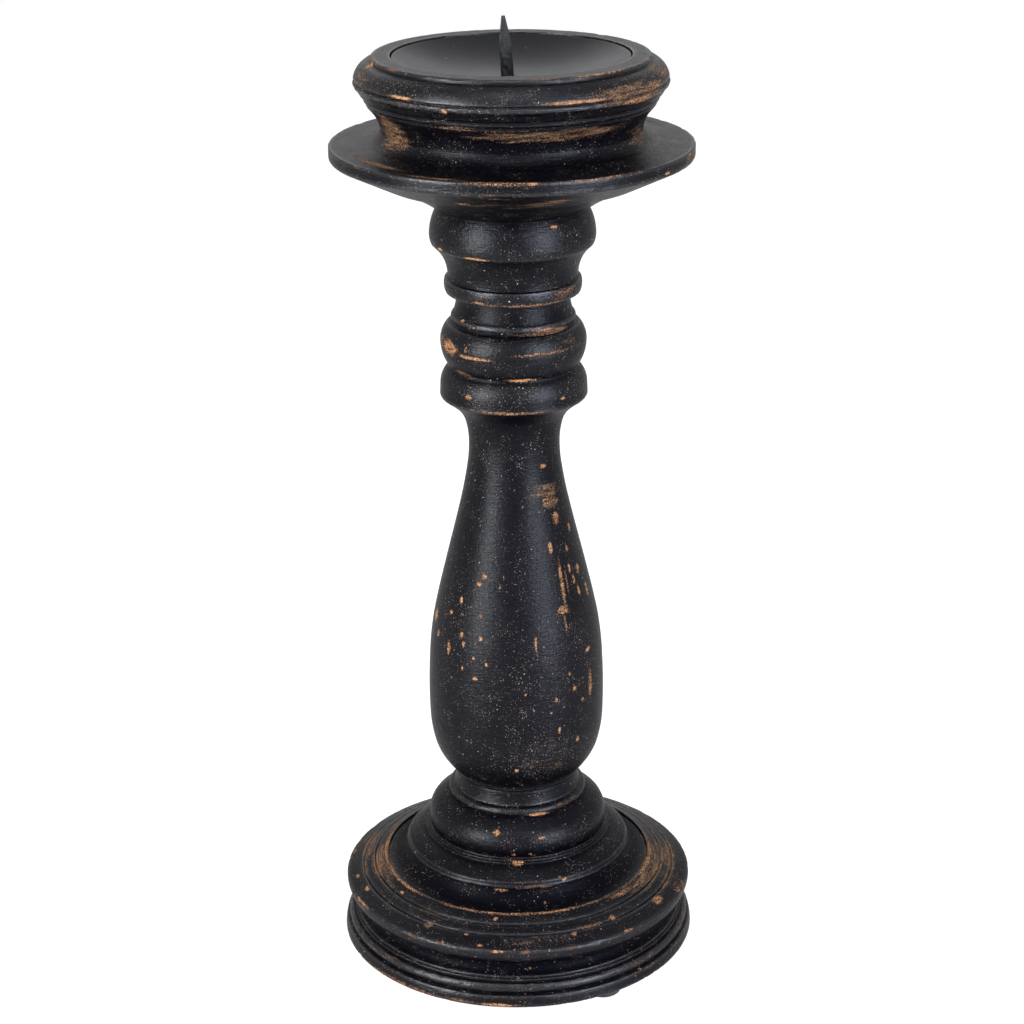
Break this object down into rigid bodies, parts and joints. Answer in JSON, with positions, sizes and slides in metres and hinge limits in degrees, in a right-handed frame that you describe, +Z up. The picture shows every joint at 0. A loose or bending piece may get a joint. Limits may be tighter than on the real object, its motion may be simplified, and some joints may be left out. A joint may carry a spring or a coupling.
{
  "type": "pricket candle stand",
  "caption": "Turned wooden pricket candle stand in worn black paint, with a drip plate, a steel pan and a candle spike.",
  "frame": {"origin": "on the floor under the stand's axis, at the centre of the base", "axes": "+Z up along the stand's axis; -Y faces the camera in the picture"},
  "size_m": [0.15, 0.15, 0.3952],
  "materials": {
    "painted_wood": "worn satin black paint rubbed through to brown wood",
    "bare_wood": "bare beech",
    "pan_steel": "matte dark grey powder coat",
    "spike_iron": "blackened steel, ground flats",
    "zinc_steel": "dull zinc",
    "glide_plastic": "matte black plastic"
  },
  "bodies": {
    "root": {"base_plinth": "painted_wood", "base_pedestal": "painted_wood", "column": "painted_wood", "candle_cup": "painted_wood", "candle_pan": "pan_steel", "spike": "spike_iron", "neck_dowel": "bare_wood", "base_screw": "zinc_steel", "base_screw_washer": "zinc_steel", "foot_pad_1": "glide_plastic", "foot_pad_2": "glide_plastic", "foot_pad_3": "glide_plastic", "pad_nails": "zinc_steel"}
  },
  "joints": []
}
